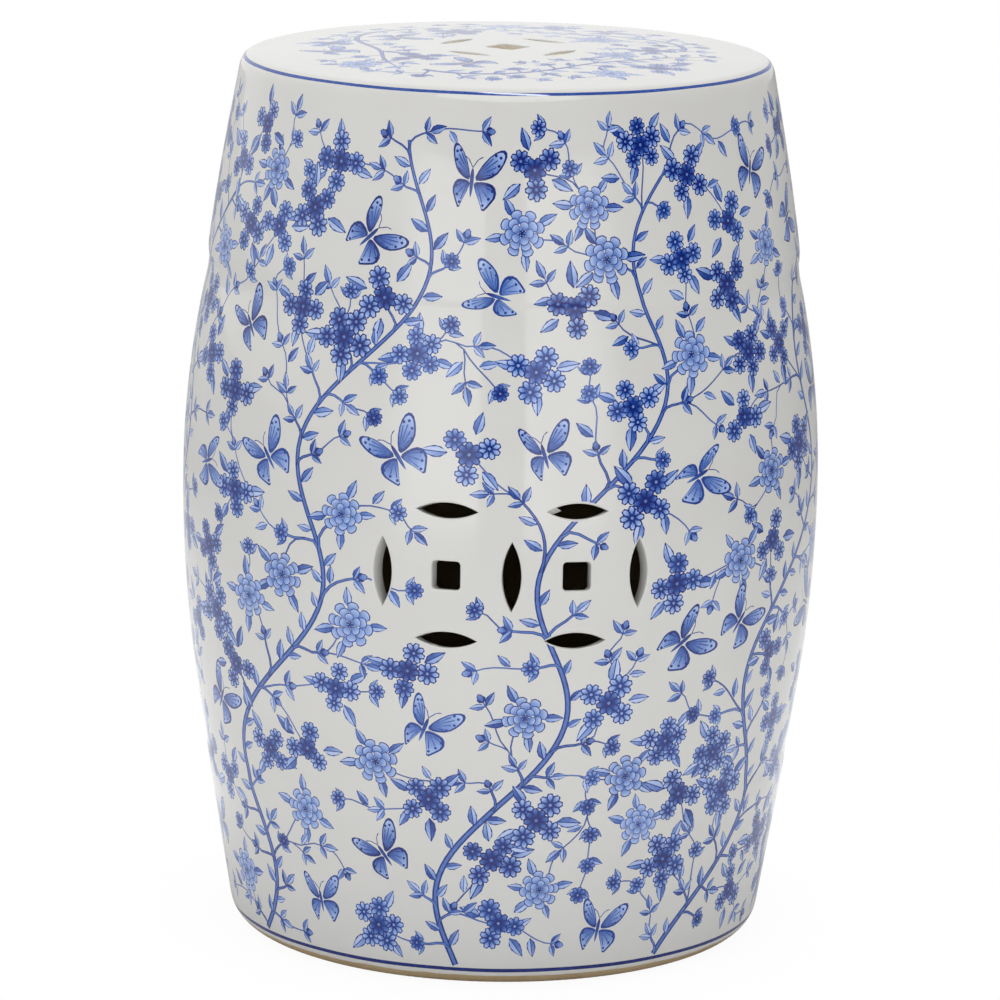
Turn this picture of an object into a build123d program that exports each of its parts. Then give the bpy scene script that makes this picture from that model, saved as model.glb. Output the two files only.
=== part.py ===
"""A glazed ceramic garden stool: a hollow, pierced drum of wall sections luted together on a bare clay foot.

Millimetres, +Z up. The origin is on the floor, on the drum's axis, and the front faces -Y.
"""

import os
from math import cos, degrees, radians, sin, tan

from build123d import *

os.makedirs("parts", exist_ok=True)

# Heights of the pieces, stacked from the floor up
FOOT_RING_HEIGHT = 6.0
LOWER_WALL_HEIGHT = 92.0
BELLY_WALL_HEIGHT = 247.0
UPPER_WALL_HEIGHT = 91.5
SEAT_SKIRT_HEIGHT = 20.0

# Outer radii, the foot's before its edge is turned in
FOOT_CORNER_RADIUS = 137.0
LOWER_WAIST_RADIUS = 152.0
BELLY_RADIUS = 165.0
UPPER_WAIST_RADIUS = 152.7
SHOULDER_RADIUS = 139.6

# Form of the outside
FOOT_TURN_RADIUS = 14.0
LOWER_LAND = 6.0
BELLY_RISE = 137.0
UPPER_LAND = 12.0
SHOULDER_BULGE = 0.6
SEAT_TAPER = 3.6
SEAT_EDGE_RADIUS = 7.0
SEAT_CROWN = 4.0

# Clay thickness, the stepped joints and the coils pressed into them
WALL = 10.0
FOOT_RING_WIDTH = 25.0
SEAT_THICKNESS = 14.0
TONGUE_HEIGHT = 4.0
TONGUE_THICKNESS = 4.5
SLIP_GAP = 0.2
COIL_RADIUS = 6.0
COIL_PRESS = 3.0

# Pierced coins, each a square amid four lens slits: two linked coins on the belly, one on the seat
COIN_RADIUS = 32.7
LEVEL_SLIT_LENGTH = 30.4
LEVEL_SLIT_WIDTH = 7.7
UPRIGHT_SLIT_LENGTH = 34.2
UPRIGHT_SLIT_WIDTH = 9.4
BELLY_SQUARE_SIDE = 14.0
SEAT_SLIT_LENGTH = 28.0
SEAT_SLIT_WIDTH = 6.5
SEAT_SQUARE_SIDE = 17.0
SQUARE_CORNER = 2.0
PIERCING_DROP = 15.3
FRONT_ANGLE = -90.0
BACK_ANGLE = 69.0
SEAT_COIN_TURN = 52.0
SEAT_COIN_SLITS = 4

# Cuts through the belly, made by hand: each runs down and a little to the right as it goes in
CUT_SLOPE = 11.5
CUT_LEAN = 5.0

# Levels of the joints, of the widest ring and of the seat
lower_joint = FOOT_RING_HEIGHT + LOWER_WALL_HEIGHT
upper_joint = lower_joint + BELLY_WALL_HEIGHT
seat_joint = upper_joint + UPPER_WALL_HEIGHT
rim_level = seat_joint + SEAT_SKIRT_HEIGHT
crown_level = rim_level + SEAT_CROWN
seat_underside = rim_level - SEAT_THICKNESS
belly_level = lower_joint + BELLY_RISE
lower_land_level = lower_joint - LOWER_LAND
upper_land_level = upper_joint + UPPER_LAND
piercing_level = belly_level - PIERCING_DROP

# Radii and angles that follow from the outside
seat_corner_radius = SHOULDER_RADIUS - SEAT_TAPER
seat_inner_radius = SHOULDER_RADIUS - WALL
foot_inner_radius = FOOT_CORNER_RADIUS - FOOT_RING_WIDTH
lower_wall_lean = (LOWER_WAIST_RADIUS - FOOT_CORNER_RADIUS) / lower_land_level
foot_wall_radius = FOOT_CORNER_RADIUS + lower_wall_lean * FOOT_RING_HEIGHT - WALL
coin_angle = degrees(COIN_RADIUS / BELLY_RADIUS)


def tongue(radius, level):
    """Adds the upstanding inner half of a joint to a wall's profile, given the wall's outer radius there."""
    with Locations((radius - WALL, level)):
        Rectangle(TONGUE_THICKNESS, TONGUE_HEIGHT, align=Align.MIN)


def rebate(radius, level):
    """Cuts the step that takes a tongue out of the profile above it, with room for the slip."""
    with Locations((radius - WALL, level)):
        Rectangle(TONGUE_THICKNESS + SLIP_GAP, TONGUE_HEIGHT, align=Align.MIN, mode=Mode.SUBTRACT)


def belly_plane(angle, level):
    """A plane through the belly's widest radius at an angle and a level, which looks out along the cut there."""
    outward = Vector(cos(radians(angle)), sin(radians(angle)), 0)
    cut_angle = radians(angle - CUT_LEAN)
    cut = Vector(cos(cut_angle), sin(cut_angle), tan(radians(CUT_SLOPE)))
    sideways = Vector(-sin(cut_angle), cos(cut_angle), 0)
    return Plane(outward * BELLY_RADIUS + Vector(0, 0, level), x_dir=sideways, z_dir=cut)


def lens(length, width):
    """The sketch of a slit: two equal arcs that meet in points."""
    with BuildSketch() as outline:
        with BuildLine():
            ThreePointArc((-length / 2, 0), (0, width / 2), (length / 2, 0))
            ThreePointArc((length / 2, 0), (0, -width / 2), (-length / 2, 0))
        make_face()
    return outline.sketch


level_slit = lens(LEVEL_SLIT_LENGTH, LEVEL_SLIT_WIDTH)
upright_slit = lens(UPRIGHT_SLIT_LENGTH, UPRIGHT_SLIT_WIDTH)
seat_slit = lens(SEAT_SLIT_LENGTH, SEAT_SLIT_WIDTH)

# Seat: a crowned disc with a rounded rim and a short skirt, pierced with one coin
with BuildPart() as seat_top:
    with BuildSketch(Plane.XZ):
        with BuildLine():
            TangentArc((0, crown_level), (seat_corner_radius, rim_level), tangent=(1, 0))
            Polyline(
                (seat_corner_radius, rim_level),
                (SHOULDER_RADIUS, seat_joint),
                (seat_inner_radius, seat_joint),
                (seat_inner_radius, seat_underside),
            )
            TangentArc((0, seat_underside + SEAT_CROWN), (seat_inner_radius, seat_underside), tangent=(1, 0))
            Line((0, seat_underside + SEAT_CROWN), (0, crown_level))
        make_face()
        fillet(vertices().sort_by_distance((seat_corner_radius, rim_level))[0], SEAT_EDGE_RADIUS)
        rebate(SHOULDER_RADIUS, seat_joint)
    revolve(axis=Axis.Z)
    with BuildSketch(Plane.XY.offset(seat_underside)):
        with PolarLocations(COIN_RADIUS, SEAT_COIN_SLITS, start_angle=SEAT_COIN_TURN):
            add(seat_slit, rotation=90)
        RectangleRounded(SEAT_SQUARE_SIDE, SEAT_SQUARE_SIDE, SQUARE_CORNER, rotation=SEAT_COIN_TURN)
    extrude(amount=SEAT_THICKNESS + 2 * SEAT_CROWN, mode=Mode.SUBTRACT)

# Upper wall: an upright land at the waist, then a gentle swell in to the seat
with BuildPart() as upper_wall:
    with BuildSketch(Plane.XZ):
        with BuildLine():
            for inset in (0, WALL):
                Line((UPPER_WAIST_RADIUS - inset, upper_joint), (UPPER_WAIST_RADIUS - inset, upper_land_level))
                SagittaArc(
                    (UPPER_WAIST_RADIUS - inset, upper_land_level),
                    (SHOULDER_RADIUS - inset, seat_joint),
                    -SHOULDER_BULGE,
                )
            for radius, level in ((UPPER_WAIST_RADIUS, upper_joint), (SHOULDER_RADIUS, seat_joint)):
                Line((radius, level), (radius - WALL, level))
        make_face()
        tongue(SHOULDER_RADIUS, seat_joint)
        rebate(UPPER_WAIST_RADIUS, upper_joint)
    revolve(axis=Axis.Z)

# Belly wall: two long arcs that meet upright at the widest ring, pierced front and back with two linked coins
with BuildPart() as belly_wall:
    with BuildSketch(Plane.XZ):
        with BuildLine():
            for inset in (0, WALL):
                widest = (BELLY_RADIUS - inset, belly_level)
                TangentArc(widest, (UPPER_WAIST_RADIUS - inset, upper_joint), tangent=(0, 1))
                TangentArc(widest, (LOWER_WAIST_RADIUS - inset, lower_joint), tangent=(0, -1))
            for radius, level in ((LOWER_WAIST_RADIUS, lower_joint), (UPPER_WAIST_RADIUS, upper_joint)):
                Line((radius, level), (radius - WALL, level))
        make_face()
        tongue(UPPER_WAIST_RADIUS, upper_joint)
        rebate(LOWER_WAIST_RADIUS, lower_joint)
    revolve(axis=Axis.Z)
    for facing in (FRONT_ANGLE, BACK_ANGLE):
        for step in (-2, 0, 2):
            with BuildSketch(belly_plane(facing + step * coin_angle, piercing_level)):
                add(upright_slit, rotation=90)
            extrude(amount=2 * WALL, both=True, mode=Mode.SUBTRACT)
        for step in (-1, 1):
            for rise in (-COIN_RADIUS, COIN_RADIUS):
                with BuildSketch(belly_plane(facing + step * coin_angle, piercing_level + rise)):
                    add(level_slit)
                extrude(amount=2 * WALL, both=True, mode=Mode.SUBTRACT)
            with BuildSketch(belly_plane(facing + step * coin_angle, piercing_level)):
                RectangleRounded(BELLY_SQUARE_SIDE, BELLY_SQUARE_SIDE, SQUARE_CORNER)
            extrude(amount=2 * WALL, both=True, mode=Mode.SUBTRACT)

# Section through the lower wall and the foot ring in one, so that the turned-in edge runs across their joint
with BuildSketch(Plane.XZ) as foot_section:
    with BuildLine():
        Polyline(
            (FOOT_CORNER_RADIUS, 0),
            (LOWER_WAIST_RADIUS, lower_land_level),
            (LOWER_WAIST_RADIUS, lower_joint),
            (LOWER_WAIST_RADIUS - WALL, lower_joint),
            (LOWER_WAIST_RADIUS - WALL, lower_land_level),
            (foot_wall_radius, FOOT_RING_HEIGHT),
            (foot_inner_radius, FOOT_RING_HEIGHT),
            (foot_inner_radius, 0),
            close=True,
        )
    make_face()
    fillet(vertices().sort_by_distance((FOOT_CORNER_RADIUS, 0))[0], FOOT_TURN_RADIUS)
    tongue(LOWER_WAIST_RADIUS, lower_joint)

# Lower wall: a straight lean from the turned-in edge out to an upright land at the waist
with BuildPart() as lower_wall:
    revolve(foot_section.sketch, axis=Axis.Z)
    split(bisect_by=Plane.XY.offset(FOOT_RING_HEIGHT), keep=Keep.TOP)

# Foot ring: the bare clay ring that the wall stands on
with BuildPart() as foot_ring:
    revolve(foot_section.sketch, axis=Axis.Z)
    split(bisect_by=Plane.XY.offset(FOOT_RING_HEIGHT), keep=Keep.BOTTOM)

# Clay coils, pressed into the inside of each joint: the inner corner there and the pieces that it joins
coil_reach = COIL_RADIUS - COIL_PRESS
coil_seats = {
    "seat_luting_coil": (seat_inner_radius, seat_underside - coil_reach, (seat_top, upper_wall)),
    "upper_luting_coil": (UPPER_WAIST_RADIUS - WALL, upper_joint + TONGUE_HEIGHT, (upper_wall, belly_wall)),
    "lower_luting_coil": (LOWER_WAIST_RADIUS - WALL, lower_joint + TONGUE_HEIGHT, (belly_wall, lower_wall)),
    "foot_luting_coil": (foot_wall_radius, FOOT_RING_HEIGHT + coil_reach, (lower_wall, foot_ring)),
}
for node, (radius, level, neighbours) in coil_seats.items():
    with BuildPart() as coil:
        with BuildSketch(Plane.XZ):
            with Locations((radius - coil_reach, level)):
                Circle(COIL_RADIUS)
        revolve(axis=Axis.Z)
        for neighbour in neighbours:
            add(neighbour.part, mode=Mode.SUBTRACT)
    coil.part.label = node
    export_step(coil.part, f"parts/{node}.step")

sections = {
    "seat_top": seat_top,
    "upper_wall": upper_wall,
    "belly_wall": belly_wall,
    "lower_wall": lower_wall,
    "foot_ring": foot_ring,
}
for node, section in sections.items():
    section.part.label = node
    export_step(section.part, f"parts/{node}.step")
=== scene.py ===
"""Looks of a glazed garden stool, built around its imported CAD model.

The drum's outside is unrolled into a plane, a blue design is drawn there, and the plane is cut into
triangles along the drawn shapes, so that each of them has true edges on the finished mesh.
Lengths are in millimetres until a mesh is made. A place on a plane is a complex number: on the unrolled
drum its real part runs round and its imaginary part up the outline, and on the seat they are x and y.
"""

import random
from math import cos, pi, radians, sin, tan

import bpy
import numpy as np
from mathutils import Matrix, Vector
from mathutils.geometry import delaunay_2d_cdt


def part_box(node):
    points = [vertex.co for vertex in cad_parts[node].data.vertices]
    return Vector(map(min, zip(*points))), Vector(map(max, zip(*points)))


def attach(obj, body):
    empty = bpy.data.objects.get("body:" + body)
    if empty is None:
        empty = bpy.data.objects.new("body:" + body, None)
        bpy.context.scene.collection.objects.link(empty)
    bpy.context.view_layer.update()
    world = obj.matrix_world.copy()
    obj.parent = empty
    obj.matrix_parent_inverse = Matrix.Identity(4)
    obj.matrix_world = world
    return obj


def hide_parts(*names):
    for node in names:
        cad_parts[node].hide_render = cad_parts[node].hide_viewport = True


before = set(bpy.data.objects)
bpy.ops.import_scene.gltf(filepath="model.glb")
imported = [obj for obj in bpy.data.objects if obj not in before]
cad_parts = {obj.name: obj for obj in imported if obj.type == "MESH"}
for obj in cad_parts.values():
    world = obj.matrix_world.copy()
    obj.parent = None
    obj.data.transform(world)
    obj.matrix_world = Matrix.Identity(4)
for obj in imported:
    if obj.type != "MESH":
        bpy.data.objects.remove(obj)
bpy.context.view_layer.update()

MM = 0.001


def top_of(node):
    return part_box(node)[1].z / MM


def bottom_of(node):
    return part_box(node)[0].z / MM


def radius_of(node):
    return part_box(node)[1].x / MM


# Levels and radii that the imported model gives
FOOT_JOINT = top_of("foot_ring")
LOWER_JOINT = bottom_of("belly_wall")
UPPER_JOINT = bottom_of("upper_wall")
SEAT_JOINT = bottom_of("seat_top")
LOWER_WAIST = radius_of("lower_wall")
BELLY = radius_of("belly_wall")
UPPER_WAIST = radius_of("upper_wall")
SHOULDER = radius_of("seat_top")

# The rest of the drum's form, as in the CAD source
FOOT_CORNER = 137.0
FOOT_TURN = 14.0
FOOT_INNER = 112.0
LOWER_LAND = 6.0
BELLY_RISE = 137.0
UPPER_LAND = 12.0
SHOULDER_BULGE = 0.6
SEAT_SKIRT = 20.0
SEAT_TAPER = 3.6
SEAT_EDGE = 7.0
SEAT_CROWN = 4.0
SEAT_THICKNESS = 14.0
WALL = 10.0
GLAZE_SOFTNESS = 1.8
# The faint crease round the upper waist: how deep it is, how far it dies away and how round its bottom is
CREASE_DEPTH = 0.9
CREASE_REACH = 4.0
CREASE_BOTTOM = 1.0

LOWER_LAND_LEVEL = LOWER_JOINT - LOWER_LAND
BELLY_LEVEL = LOWER_JOINT + BELLY_RISE
UPPER_LAND_LEVEL = UPPER_JOINT + UPPER_LAND
CREASE_LEVEL = UPPER_JOINT + UPPER_LAND / 2
RIM = SEAT_JOINT + SEAT_SKIRT
SEAT_CORNER = SHOULDER - SEAT_TAPER
SEAT_INNER = SHOULDER - WALL
SEAT_UNDERSIDE = RIM - SEAT_THICKNESS

# Piercings, as in the CAD source: two linked coins at the front and back of the belly, and one in the seat
COIN = 32.7
LEVEL_SLIT = (30.4, 7.7)
UPRIGHT_SLIT = (34.2, 9.4)
BELLY_SQUARE = 14.0
SEAT_SLIT = (28.0, 6.5)
SEAT_SQUARE = 17.0
SQUARE_CORNER = 2.0
PIERCING_LEVEL = BELLY_LEVEL - 15.3
CUT_SLOPE = radians(11.5)
CUT_LEAN = radians(5)
FRONT = pi
BACK = radians(-21)
COIN_ANGLE = COIN / BELLY
SEAT_COIN_TURN = radians(52)
# The soft, glazed edge of a piercing: how far it is wider than the hole, at how far below the surface
BELLY_FLARE = ((1.2, 0.0), (0.78, 0.09), (0.4, 0.32), (0.14, 0.7), (0.0, 1.3))
SEAT_FLARE = ((0.9, 0.0), (0.5, 0.1), (0.2, 0.35), (0.0, 0.8))

# The unrolled drum: its middle radius, its seam away from the piercings, and how finely it is cut up
UNROLL_RADIUS = 155.0
TURN = 2 * pi * UNROLL_RADIUS
SEAM_ANGLE = radians(50)
COLUMNS = 200
COARSE_STEP = 7.0
FINE_STEP = 1.3
SEAT_PLAN = 119.0

# Painted edge lines: level, width and tone
TOP_LINE = (454.9, 2.0, 0.76)
BOTTOM_LINE = (9.6, 2.2, 1.0)
# The design keeps this far from the foot, the rim and the seat's coin
DESIGN_LOW = 12.0
DESIGN_HIGH = 447.0
SEAT_DESIGN = (44.0, 112.0)
VINES = 7
# Random seeds, and how many butterflies, peonies, clusters and sprays there are at most
WALL_SEED = 11
WALL_COUNTS = (46, 48, 150, 420)
SEAT_SEED = 5
SEAT_COUNTS = (4, 5, 14, 60)


def unit(value):
    return value / abs(value)


# The drum's outline


def corner_arc(corner, before, after, radius):
    """Points of the arc that rounds a corner between two directions of travel."""
    turn = np.angle(after / before)
    start = corner - before * radius * tan(abs(turn) / 2)
    centre = start + 1j * np.sign(turn) * before * radius
    return centre + (start - centre) * np.exp(1j * np.linspace(0, turn, 25))


def swell(level, rise, drop):
    """The belly's radius at a level on an arc that falls off by drop over rise from its widest ring."""
    bend = (rise**2 + drop**2) / (2 * drop)
    return BELLY - bend + np.sqrt(bend**2 - (level - BELLY_LEVEL) ** 2)


def wall_radius(level):
    """The wall's outer radius at a level, before its edges are rounded."""
    foot = np.interp(level, [0, LOWER_LAND_LEVEL], [FOOT_CORNER, LOWER_WAIST])
    lower = swell(level, BELLY_RISE, BELLY - LOWER_WAIST)
    upper = swell(level, UPPER_JOINT - BELLY_LEVEL, BELLY - UPPER_WAIST)
    share = (level - UPPER_LAND_LEVEL) / (SEAT_JOINT - UPPER_LAND_LEVEL)
    shoulder = UPPER_WAIST + share * (SHOULDER - UPPER_WAIST) + 4 * SHOULDER_BULGE * share * (1 - share)
    skirt = SHOULDER - SEAT_TAPER * (level - SEAT_JOINT) / SEAT_SKIRT
    tops = (LOWER_JOINT, BELLY_LEVEL, UPPER_JOINT, UPPER_LAND_LEVEL, SEAT_JOINT)
    stretches = [foot, lower, upper, UPPER_WAIST, shoulder]
    return np.select([level <= top for top in tops], stretches, skirt)


def crowned(radius, level, edge):
    """The level of a gently crowned disc whose edge is at the given level and radius."""
    return level + SEAT_CROWN * (1 - (radius / edge) ** 2)


def softened(points, step=0.5):
    """Even steps along a line whose creases are eased, as by glaze: places along it and points."""
    length = np.concatenate([[0], np.cumsum(abs(np.diff(points)))])
    along = np.linspace(0, length[-1], int(length[-1] / step) + 1)
    even = np.interp(along, length, points)
    reach = int(4 * GLAZE_SOFTNESS / step)
    weights = np.exp(-0.5 * (np.arange(-reach, reach + 1) * step / GLAZE_SOFTNESS) ** 2)
    padded = np.pad(even, reach, mode="reflect", reflect_type="odd")
    return along, np.convolve(padded, weights / weights.sum(), "valid")


def drum_outline():
    """The outside, from the foot's inner edge over the rim to the seat's middle: radius + 1j * level."""
    lean = unit(LOWER_WAIST - FOOT_CORNER + 1j * LOWER_LAND_LEVEL)
    foot_edge = corner_arc(FOOT_CORNER + 0j, 1 + 0j, lean, FOOT_TURN)
    corner = SEAT_CORNER + 1j * RIM
    seat_edge = corner_arc(
        corner,
        unit(-SEAT_TAPER + 1j * SEAT_SKIRT),
        unit(-SEAT_CORNER + 2j * SEAT_CROWN),
        SEAT_EDGE,
    )
    levels = np.linspace(foot_edge[-1].imag, seat_edge[0].imag, 500)[1:-1]
    radii = np.linspace(seat_edge[-1].real, 0, 80)[1:]
    return np.concatenate(
        [
            [FOOT_INNER],
            foot_edge,
            wall_radius(levels) + 1j * levels,
            seat_edge,
            radii + 1j * crowned(radii, RIM, SEAT_CORNER),
        ]
    )


ALONG, OUTLINE = softened(drum_outline())
from_crease = np.hypot(OUTLINE.imag - CREASE_LEVEL, CREASE_BOTTOM)
OUTLINE = OUTLINE - CREASE_DEPTH * np.exp(-from_crease / CREASE_REACH)
SLOPE = np.gradient(OUTLINE, ALONG)


def run(level):
    """How far along the outline a level is."""
    return float(np.interp(level, OUTLINE.imag, ALONG))


over_seat = run(SEAT_JOINT) < ALONG
SEAT_RADII = OUTLINE.real[over_seat][::-1]
SEAT_LEVELS = OUTLINE.imag[over_seat][::-1]
SEAT_RUNS = ALONG[over_seat][::-1]
PLAN_RUN = float(np.interp(SEAT_PLAN, SEAT_RADII, SEAT_RUNS))


def polar(angle, radius, level):
    """Points in space from angles that start at the back and run to the right as seen from outside."""
    return np.stack(np.broadcast_arrays(-radius * np.sin(angle), radius * np.cos(angle), level), axis=-1)


def on_drum(place):
    """The points in space of places on the unrolled drum."""
    outline = np.interp(place.imag, ALONG, OUTLINE)
    return polar(place.real / UNROLL_RADIUS - SEAM_ANGLE, outline.real, outline.imag)


def drum_normal(place):
    slope = np.interp(place.imag, ALONG, SLOPE)
    outward = -1j * slope / abs(slope)
    return polar(place.real / UNROLL_RADIUS - SEAM_ANGLE, outward.real, outward.imag)


def on_seat(place):
    """The points in space of places on the seat's plan."""
    return np.stack([place.real, place.imag, np.interp(abs(place), SEAT_RADII, SEAT_LEVELS)], axis=-1)


def under_seat(place):
    """The points in space of places on the seat's underside."""
    level = crowned(abs(place), SEAT_UNDERSIDE, SEAT_INNER)
    return np.stack([place.real, place.imag, level], axis=-1)


def seat_normal(place):
    fall = np.interp(abs(place), SEAT_RADII, np.gradient(SEAT_LEVELS, SEAT_RADII))
    tilted = -fall * place / np.maximum(abs(place), 1e-9)
    normal = np.stack([tilted.real, tilted.imag, np.ones(place.shape)], axis=-1)
    return normal / np.linalg.norm(normal, axis=-1, keepdims=True)


# Piercings


def lens_outline(length, width):
    """A pointed lens along the real axis, anticlockwise."""
    bend = (length**2 + width**2) / (4 * width)
    across = -np.cos(np.linspace(0, pi, 22)) * length / 2
    below = across - 1j * (np.sqrt(bend**2 - across**2) - bend + width / 2)
    return np.concatenate([below, np.conj(below[-2:0:-1])])


def square_outline(side, corner):
    """A square with rounded corners, anticlockwise."""
    quarter = np.exp(1j * np.linspace(0, pi / 2, 6)) * corner + (side / 2 - corner) * (1 + 1j)
    edge = side / 2 + 1j * np.linspace(-side / 2 + corner, side / 2 - corner, 4)[1:-1]
    return np.concatenate([np.concatenate([edge, quarter]) * 1j**k for k in range(4)])


def widened(outline, flare):
    """The outline, larger by the flare on each side."""
    wide = 1 + flare / outline.real.max()
    tall = 1 + flare / outline.imag.max()
    return outline.real * wide + 1j * outline.imag * tall


LEVEL_LENS = lens_outline(*LEVEL_SLIT)
UPRIGHT_LENS = lens_outline(*UPRIGHT_SLIT) * 1j
BELLY_COIN_SQUARE = square_outline(BELLY_SQUARE, SQUARE_CORNER)
SEAT_LENS = lens_outline(*SEAT_SLIT) * 1j
SEAT_COIN_SQUARE = square_outline(SEAT_SQUARE, SQUARE_CORNER)


def belly_piercings():
    """Each hole's outline, the angle that it faces and its level."""
    holes = []
    for facing in (FRONT, BACK):
        for step in (-2, 0, 2):
            holes.append((UPRIGHT_LENS, facing + step * COIN_ANGLE, PIERCING_LEVEL))
        for step in (-1, 1):
            for rise in (-COIN, COIN):
                holes.append((LEVEL_LENS, facing + step * COIN_ANGLE, PIERCING_LEVEL + rise))
            holes.append((BELLY_COIN_SQUARE, facing + step * COIN_ANGLE, PIERCING_LEVEL))
    return holes


def belly_ring(hole, flare, sink, skin=0.0):
    """The ring of a hole in the belly, cut in by sink from a face that lies skin inside the outer one.

    The cut runs down and a little to the right as it goes in. Gives angles, radii and levels.
    """
    outline, facing, level = hole
    ring = widened(outline, flare)
    lean = np.exp(1j * CUT_LEAN)
    middle = BELLY * lean
    forward = np.zeros(len(ring))
    for _ in range(6):
        levels = level + ring.imag * cos(CUT_SLOPE) + forward * sin(CUT_SLOPE)
        ahead = np.sqrt((wall_radius(levels) - skin) ** 2 - (middle.imag + ring.real) ** 2) - middle.real
        forward = (ahead + ring.imag * sin(CUT_SLOPE)) / cos(CUT_SLOPE)
    forward -= sink
    levels = level + ring.imag * cos(CUT_SLOPE) + forward * sin(CUT_SLOPE)
    ahead = forward * cos(CUT_SLOPE) - ring.imag * sin(CUT_SLOPE)
    place = (middle + ahead + 1j * ring.real) / lean
    return facing + np.angle(place), abs(place), levels


def seat_piercings():
    """Each hole's outline about its own middle, its turn and that middle's place on the seat's plan."""
    holes = [(SEAT_COIN_SQUARE, np.exp(1j * SEAT_COIN_TURN), 0j)]
    for quarter in range(4):
        turn = np.exp(1j * SEAT_COIN_TURN) * 1j**quarter
        holes.append((SEAT_LENS, turn, COIN * turn))
    return holes


# The drawn design: shapes on a unit scale that motifs turn, size and place

# Layers, lowest first, and the palest tone of a shape
STEMS, LEAVES, FLOWERS, WINGS = range(4)
PALEST = 0.1


def leaf_outline(width, first=0.0, last=1.0, count=5):
    along = np.linspace(first, last, count)
    return along + 1j * width * np.sin(pi * along**0.8)


LEAF_EDGE = leaf_outline(0.23)
LEAF = np.concatenate([LEAF_EDGE, np.conj(LEAF_EDGE[-2:0:-1])])
LEAF_SIDE = np.concatenate([leaf_outline(0.18, 0.1, 0.92, 4), [0.85 + 0.02j, 0.08 + 0.02j]])
EYE = np.exp(2j * pi * np.arange(6) / 6)
DROP = np.array([0, 0.45 - 0.3j, 0.8 - 0.26j, 1 + 0j, 0.8 + 0.26j, 0.45 + 0.3j])
HALF_PETAL = np.array([0, 0.42 - 0.36j, 0.78 - 0.44j, 0.98 - 0.24j, 1.02])
PETAL = np.concatenate([HALF_PETAL, np.conj(HALF_PETAL[-2:0:-1])])
FOREWING = np.array(
    [0.04 + 0.03j, 0.16 + 0.3j, 0.4 + 0.58j, 0.64 + 0.7j]
    + [0.74 + 0.6j, 0.66 + 0.36j, 0.5 + 0.14j, 0.24 + 0.03j]
)
HINDWING = np.array(
    [0.04, 0.3 + 0.02j, 0.5 - 0.04j, 0.56 - 0.24j, 0.42 - 0.44j, 0.28 - 0.6j, 0.2 - 0.4j, 0.07 - 0.14j]
)
HALF_BODY = np.array([0.3j, 0.035 + 0.2j, 0.045 + 0.05j, 0.03 - 0.2j, -0.34j])
BODY = np.concatenate([HALF_BODY, -np.conj(HALF_BODY[-2:0:-1])])


def rounded_off(outline):
    """The closed outline with its corners cut back once, so that it looks drawn in one sweep."""
    after = np.roll(outline, -1)
    return np.stack([0.75 * outline + 0.25 * after, 0.25 * outline + 0.75 * after], axis=1).ravel()


class Design:
    """Filled shapes in layers on a plane, and which square millimetres of it are taken."""

    def __init__(self, seed, corner, width, height):
        self.random = random.Random(seed)
        self.shapes = []
        self.stems = []
        self.corner = corner
        self.taken = np.zeros((height, width), bool)

    def fill(self, layer, outline, tone, end_tone=None, start=0j, along=1 + 0j):
        """A shape whose tone runs from one value at start to another at start + along."""
        end_tone = tone if end_tone is None else end_tone
        self.shapes.append((layer, outline, (start, along, max(PALEST, tone), max(PALEST, end_tone))))

    def cells(self, at, radius):
        place = at - self.corner
        columns = np.arange(int(place.real - radius), int(place.real + radius) + 2)
        rows = np.arange(int(place.imag - radius), int(place.imag + radius) + 2)
        inside = (rows >= 0) & (rows < len(self.taken))
        rows = rows[inside]
        near = np.hypot(rows[:, None] - place.imag, columns - place.real) <= radius
        return np.ix_(rows, columns % self.taken.shape[1]), near, inside.all()

    def free(self, at, radius):
        index, near, inside = self.cells(at, radius)
        return inside and not (self.taken[index] & near).any()

    def take(self, at, radius):
        index, near, _ = self.cells(at, radius)
        self.taken[index] |= near

    def between(self, low, high):
        return self.random.uniform(low, high)


def stem(design, path, width, tip_width, tone):
    """A tapering stem with darker edges along a path."""
    heading = np.gradient(path)
    side = 1j * heading / abs(heading)
    for share, depth in ((1.0, tone), (0.45, tone - 0.34)):
        half = side * np.linspace(width, tip_width, len(path)) * share / 2
        left = path + half
        right = path - half
        for corners in np.stack([left[:-1], right[:-1], right[1:], left[1:]], axis=1):
            around = np.argsort(np.angle(corners - corners.mean()))
            design.fill(STEMS, corners[around], depth)


def leaf(design, at, turn, tone):
    """A pointed leaf with a dark edge and midrib, one half paler than the other."""
    dark = tone - design.between(0.0, 0.4)
    pale = dark - 0.4
    design.fill(LEAVES, at + turn * LEAF, tone)
    design.fill(LEAVES, at + turn * LEAF_SIDE, dark, dark - 0.34, at, turn)
    design.fill(LEAVES, at + turn * np.conj(LEAF_SIDE), pale, pale - 0.4, at, turn)


def bud(design, at, turn, tone):
    """A closed bud with two sepals."""
    for side in (-0.5, 0.5):
        design.fill(LEAVES, at + turn * 0.7 * np.exp(1j * side) * DROP, tone)
    design.fill(FLOWERS, at + turn * DROP, tone)
    design.fill(FLOWERS, at + turn * (0.16 + 0.74 * DROP), tone - 0.25, tone - 0.55, at, turn)


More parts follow.
